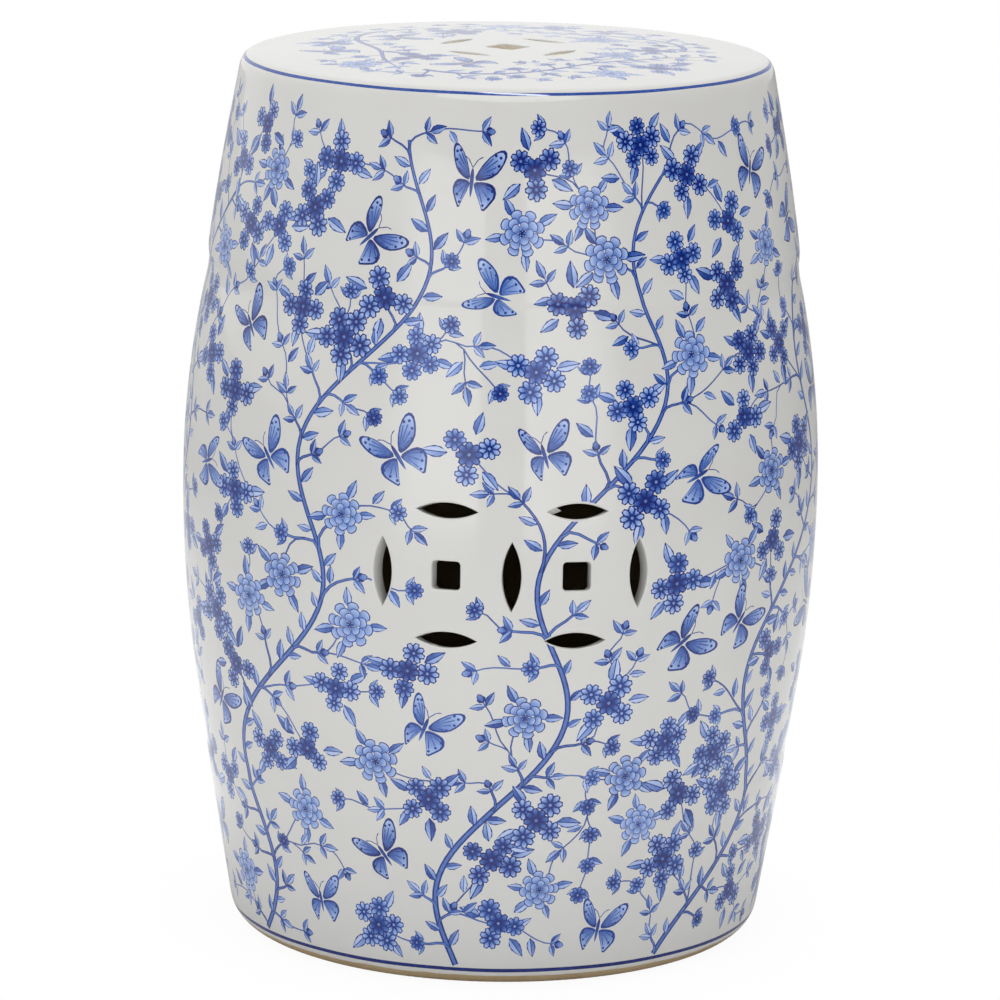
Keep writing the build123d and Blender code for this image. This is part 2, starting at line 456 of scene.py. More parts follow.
def aster(design, at, turn, tone, pale, petals=8):
    """A small daisy-like flower head, its petals from dark to pale by a share."""
    lobe = np.array([0.76, 0.97, 0.97]) * np.exp(2j * pi * np.array([-0.5, -0.22, 0.22]) / petals)
    lobes = np.exp(2j * pi * np.arange(petals) / petals)[:, None] * lobe
    design.fill(FLOWERS, at + turn * lobes.ravel(), tone)
    for k in range(petals):
        spoke = turn * np.exp(2j * pi * k / petals)
        petal = 0.3 + 0.6 * (DROP.real + 0.95j * DROP.imag)
        wash = (tone - 0.3 * pale, tone - 0.5 - 0.5 * pale)
        design.fill(FLOWERS, at + spoke * petal, *wash, at + 0.3 * spoke, 0.6 * spoke)
    design.fill(FLOWERS, at + turn * 0.29 * EYE, min(1.0, tone + 0.12))
    design.fill(FLOWERS, at + turn * 0.13 * EYE, tone - 0.5)


def peony(design, at, turn, tone):
    """A full flower head: three rings of overlapping petals round a dotted heart."""
    for petals, reach, size in ((8, 0.4, 0.6), (7, 0.2, 0.55), (5, 0.04, 0.46)):
        for k in range(petals):
            spoke = turn * np.exp(2j * pi * (k + 0.37 * petals) / petals)
            foot = at + spoke * reach
            design.fill(FLOWERS, foot + spoke * size * PETAL, tone)
            inner = 0.06 + 0.86 * PETAL
            design.fill(FLOWERS, foot + spoke * size * inner, tone - 0.2, tone - 0.95, foot, spoke * size)
    design.fill(FLOWERS, at + turn * 0.16 * EYE, min(1.0, tone + 0.1))
    for k in range(5):
        design.fill(FLOWERS, at + turn * (0.1 * np.exp(2j * pi * k / 5) + 0.028 * EYE), tone - 0.6)


def butterfly(design, at, turn, tone, tilt):
    """A butterfly seen from above, tilted so that its far wings look narrower."""
    for far in (False, True):
        for wing, spots in ((HINDWING, 3), (FOREWING, 4)):
            shape = rounded_off(wing)
            if far:
                shape = -np.conj(shape) * np.exp(-0.1j)
                shape = shape.real * tilt + 1j * shape.imag
            root = shape[0]
            tip = shape[np.argmax(abs(shape - root))]
            design.fill(WINGS, at + turn * shape, tone)
            blade = root + 0.1 * (tip - root) + 0.82 * (shape - root)
            wash = (tone - 0.15, tone - 0.9, at + turn * root, turn * (tip - root))
            design.fill(WINGS, at + turn * blade, *wash)
            for k in range(spots):
                rim = shape[5 + k * 2]
                spot = root + 0.8 * (rim - root)
                design.fill(WINGS, at + turn * (spot + 0.035 * EYE), tone)
                vein = rim - root
                thin = 0.012j * unit(vein)
                strip = np.array([root, root + 0.7 * vein - thin, root + 0.7 * vein + thin])
                design.fill(WINGS, at + turn * strip, tone - 0.05)
    wash = (min(1.0, tone + 0.15), tone - 0.25, at + turn * 0.3j, -0.6j * turn)
    design.fill(WINGS, at + turn * rounded_off(BODY), *wash)
    for side in (-1, 1):
        feeler = np.array([0.28j, 0.3j + 0.1 * side + 0.14j, 0.3j + 0.2 * side + 0.2j])
        thin = np.array([0.012, 0.012, 0.028])
        strip = np.concatenate([feeler - thin, (feeler + thin)[::-1]])
        design.fill(WINGS, at + turn * strip, tone)


def cluster(design, at, ahead, tone):
    """A few small flowers crowded together, the middle one on top and darkest, with leaves round them."""
    size = design.between(6.0, 7.0)
    around = design.random.choice((3, 4, 4, 5))
    for k in range(3):
        out = ahead * np.exp(1j * (2.1 * k + design.between(0.5, 1.3)))
        leaf(design, at + out * size * 1.5, out * size * design.between(1.7, 2.2), tone)
    for k in range(around):
        out = ahead * np.exp(2j * pi * (k + design.between(-0.12, 0.12)) / around)
        place = at + out * size * design.between(1.3, 1.6)
        aster(design, place, size * design.between(0.82, 1.0) * out, tone, design.between(0.2, 1.5))
    aster(design, at, size * ahead, min(1.0, tone + 0.1), 0.0)


def bloom(design, at, ahead, tone):
    """A full flower head with leaves behind it."""
    size = design.between(10.5, 12.5)
    for k in range(4):
        out = ahead * np.exp(1j * (1.6 * k + design.between(0.4, 1.2)))
        leaf(design, at + out * size * 0.75, out * size * design.between(0.85, 1.05), tone)
    peony(design, at, ahead * size, tone)


def spray(design, at, ahead, tone):
    """The end of a twig: three leaves, or two and a bud, or a single small flower."""
    ending = design.random.choice(("leaf", "bud", "flower"))
    for turn in (-1.0, 1.0):
        out = ahead * np.exp(1j * (turn + design.between(-0.2, 0.2)))
        leaf(design, at - ahead * 2, out * design.between(7.5, 9.5), tone)
    if ending == "leaf":
        leaf(design, at, ahead * design.between(8.0, 10.5), tone)
    elif ending == "bud":
        bud(design, at, ahead * design.between(5.0, 6.0), tone)
    else:
        aster(design, at + ahead * 2, ahead * design.between(4.4, 5.0), tone, design.between(0.0, 0.8))


def flutter(design, at, ahead, tone):
    turn = np.exp(1j * design.between(-1.3, 1.3)) * design.between(21, 25)
    butterfly(design, at, turn, tone, design.between(0.55, 1.0))


def grow(design, path, width, tip_width, tone):
    """Draws a stem and notes its places, for more to branch off there."""
    stem(design, path, width, tip_width, tone)
    headings = np.gradient(path)
    widths = np.linspace(width, tip_width, len(path))
    design.stems.extend(zip(path, headings / abs(headings), widths))
    for place in path:
        design.take(place, 1.6)


def branch(design, site, tone, wrap):
    """Grows a curved branch to a site from the stem that reaches it best, and gives its path."""
    places, headings, widths = (np.array(column) for column in zip(*design.stems))
    away = site - places
    if wrap:
        away = (away.real + wrap / 2) % wrap - wrap / 2 + 1j * away.imag
    distance = np.maximum(abs(away), 1e-6)
    cost = distance * (1.75 - (away / headings).real / distance)
    cost[distance < 9] = np.inf
    best = int(cost.argmin())
    start = places[best]
    end = start + away[best]
    pull = 0.42 * distance[best]
    ahead = unit(away[best]) * np.exp(1j * design.between(-0.5, 0.5))
    share = np.linspace(0, 1, max(5, int(distance[best] / 4)))
    path = (
        start * (1 - share) ** 3
        + 3 * (start + headings[best] * pull) * share * (1 - share) ** 2
        + 3 * (end - ahead * pull) * share**2 * (1 - share)
        + end * share**3
    )
    width = max(0.8, min(1.9, 0.72 * widths[best]))
    grow(design, path, width, max(0.7, 0.7 * width), tone)
    return path


def leafy(design, path, spacing, size, tone):
    """Leaves on alternate sides of a stem, wherever there is room for one."""
    side = design.random.choice((-1, 1))
    gone = 0.0
    for k in range(1, len(path) - 1):
        gone += abs(path[k] - path[k - 1])
        if gone < spacing:
            continue
        out = unit(path[k + 1] - path[k - 1]) * np.exp(1j * side * design.between(0.65, 1.05))
        length = size * design.between(0.8, 1.15)
        middle = path[k] + out * (2.4 + 0.55 * length)
        side = -side
        if design.free(middle, 0.3 * length):
            leaf(design, path[k] + out * 1.2, out * length, tone + design.between(-0.1, 0.05))
            design.take(middle, 0.42 * length)
            gone = 0.0


def spread(design, low, high, radius, count, tries):
    """Up to a number of random sites with room within a radius, which they take."""
    sites = []
    for _ in range(tries):
        at = complex(design.between(low.real, high.real), design.between(low.imag, high.imag))
        if len(sites) < count and design.free(at, radius):
            design.take(at, radius)
            sites.append(at)
    return sites


def furnish(design, vines, low, high, counts, wrap=None):
    """Vines first, then butterflies between them, flowers and sprays that branch off them, and leaves."""
    for path in vines:
        grow(design, path, 3.6, 1.8, 0.9)
    main_stems = np.concatenate(vines)
    kinds = ((flutter, 17.5), (bloom, 13.5), (cluster, 13.0), (spray, 6.5))
    sites = []
    for (motif, radius), count in zip(kinds, counts):
        sites.extend((at, motif) for at in spread(design, low, high, radius, count, 40 * count))
    sites.sort(key=lambda site: abs(main_stems - site[0]).min())
    branches = []
    for at, motif in sites:
        tone = design.between(0.8, 1.0)
        if motif is flutter:
            flutter(design, at, 1 + 0j, tone)
            continue
        path = branch(design, at, tone, wrap)
        branches.append(path)
        motif(design, path[-1], unit(path[-1] - path[-2]), tone)
    for path in (*vines, *branches):
        leafy(design, path, 6.0, 10.5, design.between(0.8, 0.96))


def wall_design():
    """Seven waving vines that lean round the drum from the foot to the rim."""
    bottom = run(DESIGN_LOW)
    top = run(DESIGN_HIGH)
    design = Design(WALL_SEED, 1j * bottom, round(TURN), round(top - bottom))
    for outline, facing, level in belly_piercings():
        middle = UNROLL_RADIUS * (facing + SEAM_ANGLE) + 1j * run(level)
        tip = outline[np.argmax(abs(outline))]
        slit = abs(tip) > BELLY_SQUARE
        for share in (-0.9, -0.45, 0, 0.45, 0.9):
            design.take(middle + (share * tip if slit else 0), 6.5 - 3 * abs(share) if slit else 11)
    vines = []
    for k in range(VINES):
        rise = np.arange(bottom, top - 14 - 20 * (k % 3), 4.5)
        wave = 19 * np.sin(2 * pi * (rise - bottom) / 165 + 2.3 * k)
        vines.append((k + 0.25) * TURN / VINES + 0.3 * (rise - bottom) + wave + 1j * rise)
    furnish(design, vines, 1j * bottom, TURN + 1j * top, WALL_COUNTS, wrap=TURN)
    return design


def seat_design():
    """A wreath of three vines round the seat's coin."""
    inner, outer = SEAT_DESIGN
    half = round(outer) + 2
    design = Design(SEAT_SEED, -half * (1 + 1j), 2 * half, 2 * half)
    rows, columns = np.indices(design.taken.shape)
    away = np.hypot(rows - half, columns - half)
    design.taken |= (away < inner) | (away > outer)
    around = np.radians(np.arange(0, 104, 2.6))
    radius = 80 + 13 * np.sin(around * 3.2 + 0.8)
    vines = [radius * np.exp(1j * (around + 2 * pi * k / 3)) for k in range(3)]
    furnish(design, vines, -half * (1 + 1j), half * (1 + 1j), SEAT_COUNTS)
    return design


# Triangles


SPREAD_LIMIT = 1.5


def doubled_area(corners):
    """Twice the area inside corners in order along the last axis, negative where they run clockwise."""
    after = np.roll(corners, -1, axis=-1)
    return np.sum(corners.real * after.imag - after.real * corners.imag, axis=-1)


class Plan:
    """Points, kept edges and filled polygons on one plane, to be cut into triangles."""

    def __init__(self):
        self.points = []
        self.edges = []
        self.polygons = []
        self.washes = []

    def line(self, points, closed=False):
        first = len(self.points)
        self.points.extend(points)
        self.edges.extend((first + k, first + k + 1) for k in range(len(points) - 1))
        if closed:
            self.edges.append((len(self.points) - 1, first))

    def fill(self, outline, wash):
        if doubled_area(outline) < 0:
            outline = outline[::-1]
        first = len(self.points)
        self.points.extend(outline)
        self.polygons.append(list(range(first, len(self.points))))
        self.washes.append(wash)

    def draw(self, design, wrap=None):
        """The design's shapes, lowest layer first. A shape over a wrapped plane's seam is drawn twice."""
        for _, outline, wash in sorted(design.shapes, key=lambda shape: shape[0]):
            shifts = {0}
            if wrap:
                outside = np.floor(outline.real / wrap)
                shifts = {-wrap * k for k in set(outside)}
            for shift in shifts:
                start, along, tone, end_tone = wash
                self.fill(outline + shift, (start + shift, along, tone, end_tone))

    def triangles(self, holes):
        """Corner places of each triangle outside the holes, and the tone of the design at each corner."""
        art = len(self.polygons)
        for hole in holes:
            self.fill(hole, (0j, 1 + 0j, 0.0, 0.0))
        points = np.array(self.points)
        flat = [Vector((p.real, p.imag)) for p in points]
        places, _, triangles, _, _, covers = delaunay_2d_cdt(flat, self.edges, self.polygons, 0, 1e-4, True)
        places = np.array([complex(p.x, p.y) for p in places])
        corners = places[np.array(triangles)]
        triangle = np.repeat(np.arange(len(covers)), [len(cover) for cover in covers])
        shape = np.array([k for cover in covers for k in cover])
        covered = np.bincount(shape, doubled_area(corners)[triangle], len(self.polygons))
        drawn = np.array([doubled_area(points[polygon]) for polygon in self.polygons])
        sound = (covered < SPREAD_LIMIT * drawn)[shape]
        top = np.full(len(corners), -1)
        np.maximum.at(top, triangle[sound], shape[sound])
        corners = corners[top < art]
        top = top[top < art]
        start, along, tone, end_tone = np.array(self.washes + [(0j, 1 + 0j, 0.0, 0.0)]).T[:, top, None]
        share = np.clip(((corners - start) / along).real, 0, 1)
        return corners, (tone + share * (end_tone - tone)).real


def even_rows(low, high, step):
    return np.linspace(low, high, max(1, round((high - low) / step)) + 1)


def round_rows():
    """How far along the outline the rows of the drum's net are: close together where it bends."""
    bends = [run(0.5) - 8, run(20), run(LOWER_LAND_LEVEL - 5), run(LOWER_JOINT + 6), run(UPPER_JOINT - 6)]
    bends += [run(UPPER_LAND_LEVEL + 6), run(RIM - 14), PLAN_RUN]
    rows = [even_rows(0, bends[0], COARSE_STEP)]
    for k, (low, high) in enumerate(zip(bends, bends[1:])):
        rows.append(even_rows(low, high, COARSE_STEP if k % 2 else FINE_STEP)[1:])
    rows.append(run(CREASE_LEVEL) + CREASE_BOTTOM * np.array([-0.7, 0.0, 0.7]))
    return np.sort(np.concatenate(rows))


COLUMN_PLACES = np.arange(COLUMNS + 1) * TURN / COLUMNS
COLUMN_SHARES = np.arange(COLUMNS) / COLUMNS
SIDE_CUT = COLUMN_PLACES[round(COLUMNS * (SEAM_ANGLE + pi / 2) / (2 * pi))]
# How near a joint's line its points are, and within what step points are made one
ON_LINE = 3e-4
WELD_STEP = 0.002
# Finishes, in the order of a piece's materials
GLAZED, BARE, CUT = range(3)


def wall_map(corners, low, high):
    """The unrolled outside in a piece's map, its front half below its back half."""
    middle = corners.mean(axis=1, keepdims=True)
    half = np.floor((middle.real - SIDE_CUT) / (TURN / 2))
    across = (corners.real - SIDE_CUT) / (TURN / 2) - half
    up = (corners.imag - low) / (high - low)
    return np.stack([0.01 + 0.98 * across, 0.01 + 0.43 * up + 0.46 * (half % 2)], axis=-1)


def side_map(corners):
    """A place for plain faces in a piece's map, clear of the painted outside: a strip along its top."""
    turn = np.arctan2(corners[..., 1], corners[..., 0]) / (2 * pi) + 0.5
    level = corners[..., 2] / (RIM + SEAT_CROWN)
    return np.stack([turn, 0.93 + 0.06 * level], axis=-1)


def welded(points):
    """The points, of which any that all but coincide count as one, and the number there of each."""
    for shift in (0.0, 0.25, 0.5, 0.75):
        cells = np.floor(points / WELD_STEP + shift).astype(np.int64) + (1 << 19)
        keys = (cells[:, 0] << 40) + (cells[:, 1] << 20) + cells[:, 2]
        _, first, index = np.unique(keys, return_index=True, return_inverse=True)
        unique_points = points[first]
        points = unique_points[index]
    return unique_points, index


def add_object(name, data):
    thing = bpy.data.objects.new(name, data)
    bpy.context.scene.collection.objects.link(thing)
    return thing


class Shell:
    """One closed piece of the stool, gathered as triangles."""

    def __init__(self):
        self.corners = []
        self.tones = []
        self.normals = []
        self.maps = []
        self.finishes = []

    def add(self, corners, finish, tones=None, normals=None, maps=None):
        count = len(corners)
        self.corners.append(corners)
        self.finishes.append(np.full(count, finish))
        self.tones.append(np.zeros((count, 3)) if tones is None else tones)
        self.normals.append(np.full((count, 3, 3), np.nan) if normals is None else normals)
        self.maps.append(side_map(corners) if maps is None else maps)

    def build(self, name, slot, materials):
        """The piece as one mesh that stands for the CAD node of that name."""
        points, index = welded(np.concatenate(self.corners).reshape(-1, 3))
        triangles = index.reshape(-1, 3)
        whole = (triangles != np.roll(triangles, 1, axis=1)).all(axis=1)
        mesh = bpy.data.meshes.new(name + "_glazed")
        mesh.from_pydata(points * MM, [], triangles[whole].tolist())
        for material in materials:
            mesh.materials.append(material)
        mesh.polygons.foreach_set("material_index", np.concatenate(self.finishes)[whole])
        tone = mesh.attributes.new("pigment", "FLOAT", "CORNER")
        tone.data.foreach_set("value", np.concatenate(self.tones)[whole].ravel())
        layer = mesh.uv_layers.new(name="OFBake")
        layer.data.foreach_set("uv", np.concatenate(self.maps)[whole].ravel())
        mesh.shade_smooth()
        mesh.set_sharp_from_angle(angle=radians(50))
        shading = np.zeros(len(mesh.loops) * 3, np.float32)
        mesh.corner_normals.foreach_get("vector", shading)
        known = np.concatenate(self.normals)[whole].reshape(-1, 3)
        mesh.normals_split_custom_set(np.where(np.isnan(known), shading.reshape(-1, 3), known))
        piece = add_object(mesh.name, mesh)
        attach(piece, "root")
        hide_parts(name)


def band(ring_a, shares_a, ring_b, shares_b):
    """Triangles between two closed rings of points, each point with its share of the way round.

    Their front is on the right of the first ring's direction of travel if the second ring is ahead of it.
    """
    faces = []
    a = 0
    b = 0
    ends_a = np.append(shares_a[1:], 1.0)
    ends_b = np.append(shares_b[1:], 1.0)
    while a < len(ring_a) or b < len(ring_b):
        here_a = ring_a[a % len(ring_a)]
        here_b = ring_b[b % len(ring_b)]
        if b == len(ring_b) or (a < len(ring_a) and ends_a[a] <= ends_b[b]):
            a += 1
            faces.append((here_a, ring_a[a % len(ring_a)], here_b))
        else:
            b += 1
            faces.append((here_a, ring_b[b % len(ring_b)], here_b))
    return np.array(faces)


def ring(radius, level):
    """A level ring round the drum's axis."""
    return polar(COLUMN_PLACES[:-1] / UNROLL_RADIUS - SEAM_ANGLE, radius, level)


def rings(shell, profile, finish):
    """A plain surface of revolution through the radii and levels of a profile, first ring first."""
    for (radius, level), (next_radius, next_level) in zip(profile, profile[1:]):
        faces = band(ring(radius, level), COLUMN_SHARES, ring(next_radius, next_level), COLUMN_SHARES)
        shell.add(faces, finish)


def on_loop(places, loop):
    """The places that lie on a closed loop, in order, each with its share of the way round."""
    ahead = np.roll(loop, -1) - loop
    share = np.clip(((places[:, None] - loop) / ahead).real, 0, 1)
    gap = abs(loop + share * ahead - places[:, None])
    leg = gap.argmin(axis=1)
    near = gap.min(axis=1) < 1e-3
    shares = ((leg + share[np.arange(len(places)), leg]) / len(loop))[near] % 1.0
    order = np.argsort(shares)
    return places[near][order], shares[order]


def tunnel(shell, mouth, shares, layers, rim_finish, wall_finish):
    """The walls of a piercing, from its mouth through rings of points, one for each layer."""
    even = np.arange(len(layers[0])) / len(layers[0])
    shell.add(band(mouth, shares, layers[0], even), rim_finish)
    for k, (layer, deeper) in enumerate(zip(layers, layers[1:])):
        last = k == len(layers) - 2
        shell.add(band(layer, even, deeper, even), wall_finish if last else rim_finish)


def net_points(rows, fixed):
    """Staggered points on the rows that aren't close to a fixed line."""
    points = []
    for k, row in enumerate(rows):
        if min(abs(row - line) for line in fixed) > 0.5 * FINE_STEP:
            shift = 0.5 * (k % 2)
            points.extend((COLUMN_PLACES[:-1] + shift * TURN / COLUMNS) + 1j * row)
    return points


def edge_line(plan, level, width, tone):
    """A line painted round the drum by hand, so a little uneven."""
    middle = run(level)
    turn = 2 * pi * np.arange(COLUMNS + 1)
    wave = np.sin(turn * 5 / COLUMNS) + np.sin(turn * 13 / COLUMNS)
    low = COLUMN_PLACES + 1j * (middle - width * (0.5 + 0.05 * wave))
    high = COLUMN_PLACES + 1j * (middle + width * (0.5 + 0.03 * wave[::-1]))
    for k in range(COLUMNS):
        plan.fill(np.array([low[k], low[k + 1], high[k + 1], high[k]]), (0j, 1 + 0j, tone, tone))


def unrolled_outside():
    """The drum's outside as triangles on the unrolled plane, with tones, joints and the holes' mouths."""
    joints = [run(level) for level in (FOOT_JOINT, LOWER_JOINT, UPPER_JOINT, SEAT_JOINT)]
    fixed = [0.0, *joints, PLAN_RUN]
    rows = round_rows()
    plan = Plan()
    for height in fixed:
        plan.line(COLUMN_PLACES + 1j * height)
    for across in (0, SIDE_CUT, SIDE_CUT + TURN / 2, TURN):
        plan.line(across + 1j * rows)
    plan.points.extend(net_points(rows, fixed))
    plan.draw(wall_design(), wrap=TURN)
    edge_line(plan, *TOP_LINE)
    edge_line(plan, *BOTTOM_LINE)
    mouths = []
    for hole in belly_piercings():
        angles, _, levels = belly_ring(hole, *BELLY_FLARE[0])
        mouths.append(UNROLL_RADIUS * (angles + SEAM_ANGLE) + 1j * np.interp(levels, OUTLINE.imag, ALONG))
    corners, tones = plan.triangles(mouths)
    middle = corners.mean(axis=1)
    inside = (middle.real > 0) & (middle.real < TURN) & (middle.imag > 0) & (middle.imag < PLAN_RUN)
    return corners[inside], tones[inside], joints, mouths


def joint_ring(places, height):
    """The points of the outside on a joint's line, each with its share of the way round."""
    on_line = places[(abs(places.imag - height) < ON_LINE) & (places.real < TURN - 1e-3)]
    order = np.argsort(on_line.real)
    return on_drum(on_line[order]), on_line.real[order] / TURN


def belly_inside(holes):
    """The belly's inner face, pierced, as triangles that look inward."""
    plan = Plan()
    for level in (LOWER_JOINT, UPPER_JOINT):
        plan.line(COLUMN_PLACES + 1j * level)
    levels = even_rows(LOWER_JOINT, UPPER_JOINT, 2 * COARSE_STEP)
    for across in (0, TURN):
        plan.line(across + 1j * levels)
    plan.points.extend(net_points(levels, (LOWER_JOINT, UPPER_JOINT)))
    ends = []
    for hole in holes:
        angles, _, hole_levels = belly_ring(hole, 0, 0, skin=WALL)
        ends.append(UNROLL_RADIUS * (angles + SEAM_ANGLE) + 1j * hole_levels)
    corners, _ = plan.triangles(ends)
    middle = corners.mean(axis=1).real
    corners = corners[(middle > 0) & (middle < TURN)][:, ::-1]
    return polar(corners.real / UNROLL_RADIUS - SEAM_ANGLE, wall_radius(corners.imag) - WALL, corners.imag)


def seat_faces(shell):
    """The seat's painted top, its underside and the coin through them."""
    rim = on_drum(COLUMN_PLACES[:-1] + 1j * PLAN_RUN)
    holes = seat_piercings()
    top = Plan()
    top.line(rim[:, 0] + 1j * rim[:, 1], closed=True)
    under = Plan()
    edge = ring(SEAT_INNER, SEAT_UNDERSIDE)
    under.line(edge[:, 0] + 1j * edge[:, 1], closed=True)
    for radius in np.arange(2 * COARSE_STEP, SEAT_PLAN, COARSE_STEP):
        count = round(2 * pi * radius / COARSE_STEP)
        around = np.exp(2j * pi * np.arange(count) / count)
        top.points.extend(radius * around)
        under.points.extend(radius * around[::2])
    top.draw(seat_design())
    mouths = [middle + turn * widened(outline, SEAT_FLARE[0][0]) for outline, turn, middle in holes]
    corners, tones = top.triangles(mouths)
    shares = np.stack([corners.real, corners.imag], axis=-1) / (2 * SEAT_PLAN) + 0.5
    shell.add(on_seat(corners), GLAZED, tones, seat_normal(corners), 0.01 + 0.86 * shares)
    ends = [middle + turn * outline for outline, turn, middle in holes]
    below, _ = under.triangles(ends)
    shell.add(under_seat(below[:, ::-1]), BARE)
    places = np.unique(corners)
    for (outline, turn, middle), mouth in zip(holes, mouths):
        on_mouth, mouth_shares = on_loop(places, mouth)
        layers = []
        for flare, sink in SEAT_FLARE[1:]:
            layer = on_seat(middle + turn * widened(outline, flare))
            layers.append(layer - [0, 0, sink])
        layers.append(under_seat(middle + turn * outline))
        tunnel(shell, on_seat(on_mouth), mouth_shares, layers, GLAZED, CUT)


def inner_wall(low, high, count=8):
    """Radii and levels down the inside of a wall."""
    levels = np.linspace(high, low, count)
    return list(zip(wall_radius(levels) - WALL, levels))


def build_stool(glaze, clay, cut_clay_painted_light):
    """The five visible pieces of the drum, each a closed shell."""
    corners, tones, joints, mouths = unrolled_outside()
    places = np.unique(corners)
    heights = [0.0, *joints, PLAN_RUN]
    names = ("foot_ring", "lower_wall", "belly_wall", "upper_wall", "seat_top")
    shells = {}
    for name, low, high in zip(names, heights, heights[1:]):
        middle = corners.mean(axis=1).imag
        own = (middle > low) & (middle < high)
        shell = Shell()
        if name == "seat_top":
            up = 0.03 * (corners[own].imag - low) / (high - low)
            maps = np.stack([corners[own].real / TURN, 0.89 + up], axis=-1)
        else:
            maps = wall_map(corners[own], low, high)
        finish = BARE if name == "foot_ring" else GLAZED
        shell.add(on_drum(corners[own]), finish, tones[own], drum_normal(corners[own]), maps)
        shells[name] = shell

    foot_wall = float(wall_radius(FOOT_JOINT)) - WALL
    lower_inside = inner_wall(FOOT_JOINT, LOWER_JOINT)
    upper_inside = inner_wall(UPPER_JOINT, SEAT_JOINT)
    faces = {
        "foot_ring": ((FOOT_INNER, FOOT_JOINT), None),
        "lower_wall": (lower_inside[0], (foot_wall, FOOT_JOINT)),
        "belly_wall": ((UPPER_WAIST - WALL, UPPER_JOINT), (LOWER_WAIST - WALL, LOWER_JOINT)),
        "upper_wall": (upper_inside[0], upper_inside[-1]),
        "seat_top": (None, (SEAT_INNER, SEAT_JOINT)),
    }
    for (name, (above, below)), low, high in zip(faces.items(), heights, heights[1:]):
        if above:
            outer, shares = joint_ring(places, high)
            shells[name].add(band(outer, shares, ring(*above), COLUMN_SHARES), BARE)
        if below:
            outer, shares = joint_ring(places, low)
            shells[name].add(band(ring(*below), COLUMN_SHARES, outer, shares), BARE)
    rings(shells["foot_ring"], [(FOOT_INNER, FOOT_JOINT), (FOOT_INNER, 0.0)], BARE)
    rings(shells["lower_wall"], lower_inside, BARE)
    rings(shells["upper_wall"], upper_inside, BARE)
    rings(shells["seat_top"], [(SEAT_INNER, SEAT_UNDERSIDE), (SEAT_INNER, SEAT_JOINT)], BARE)

    holes = belly_piercings()
    shells["belly_wall"].add(belly_inside(holes), BARE)
    for hole, mouth in zip(holes, mouths):
        on_mouth, shares = on_loop(places, mouth)
        layers = [polar(*belly_ring(hole, flare, sink)) for flare, sink in BELLY_FLARE[1:]]
        layers.append(polar(*belly_ring(hole, 0, 0, skin=WALL)))
        tunnel(shells["belly_wall"], on_drum(on_mouth), shares, layers, GLAZED, GLAZED)
    seat_faces(shells["seat_top"])

    for name, shell in shells.items():
        slot = "bare_clay" if name == "foot_ring" else "glazed_stoneware"
        shell.build(name, slot, (glaze, clay, cut_clay_painted_light))
    for name in ("seat_luting_coil", "upper_luting_coil", "lower_luting_coil", "foot_luting_coil"):
        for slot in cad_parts[name].material_slots:
            slot.material = clay


# Materials


def linear(red, green, blue):
    """A colour written in display values from 0 to 255, as the shader's linear values."""
    shares = [value / 255 for value in (red, green, blue)]
    return (*[s / 12.92 if s <= 0.04045 else ((s + 0.055) / 1.055) ** 2.4 for s in shares], 1.0)


def connect(tree, node, inputs):
    """Sets a node's inputs to values or links them to other nodes' outputs."""
    for key, value in inputs.items():
        if isinstance(value, bpy.types.NodeSocket):
            tree.links.new(value, node.inputs[key])
        else:
            node.inputs[key].default_value = value


def add_node(tree, kind, inputs=None, **settings):
    """A shader node with its settings and inputs."""
    node = tree.nodes.new("ShaderNode" + kind)
    for key, value in settings.items():
        setattr(node, key, value)
    connect(tree, node, inputs or {})
    return node


def new_material(name):
    material = bpy.data.materials.new(name)
    material.use_nodes = True
    tree = material.node_tree
    return material, tree, tree.nodes["Principled BSDF"]


def noise(tree, place, scale, detail=2.0):
    return add_node(tree, "TexNoise", {"Vector": place, "Scale": scale, "Detail": detail}).outputs["Fac"]


def span(tree, value, low, high, to_low, to_high):
    """A value's span mapped to another and clamped."""
    ends = {"Value": value, "From Min": low, "From Max": high, "To Min": to_low, "To Max": to_high}
    return add_node(tree, "MapRange", ends).outputs["Result"]


def blended(tree, share, first, second):
    """A colour between two. The numbers are those of the Mix node's colour sockets."""
    return add_node(tree, "Mix", {0: share, 6: first, 7: second}, data_type="RGBA").outputs[2]


def maths(tree, operation, first, second):
    return add_node(tree, "Math", {0: first, 1: second}, operation=operation).outputs["Value"]


def bump(tree, height, strength, depth):
    inputs = {"Height": height, "Strength": strength, "Distance": depth}
    return add_node(tree, "Bump", inputs).outputs["Normal"]


GLAZE_IOR = 1.58
CLAY_ROUGHNESS = (0.75, 0.95)
CLAY_PALE = linear(192, 171, 135)
CLAY_DARK = linear(152, 131, 97)
# Clay of the seat holes' cut walls: paler than the foot's clay, partly its own colour and partly painted
# light that lifts the shade inside the holes
CUT_CLAY_PALE_PAINTED_LIGHT = linear(240, 232, 214)
CUT_CLAY_DARK_PAINTED_LIGHT = linear(226, 215, 194)


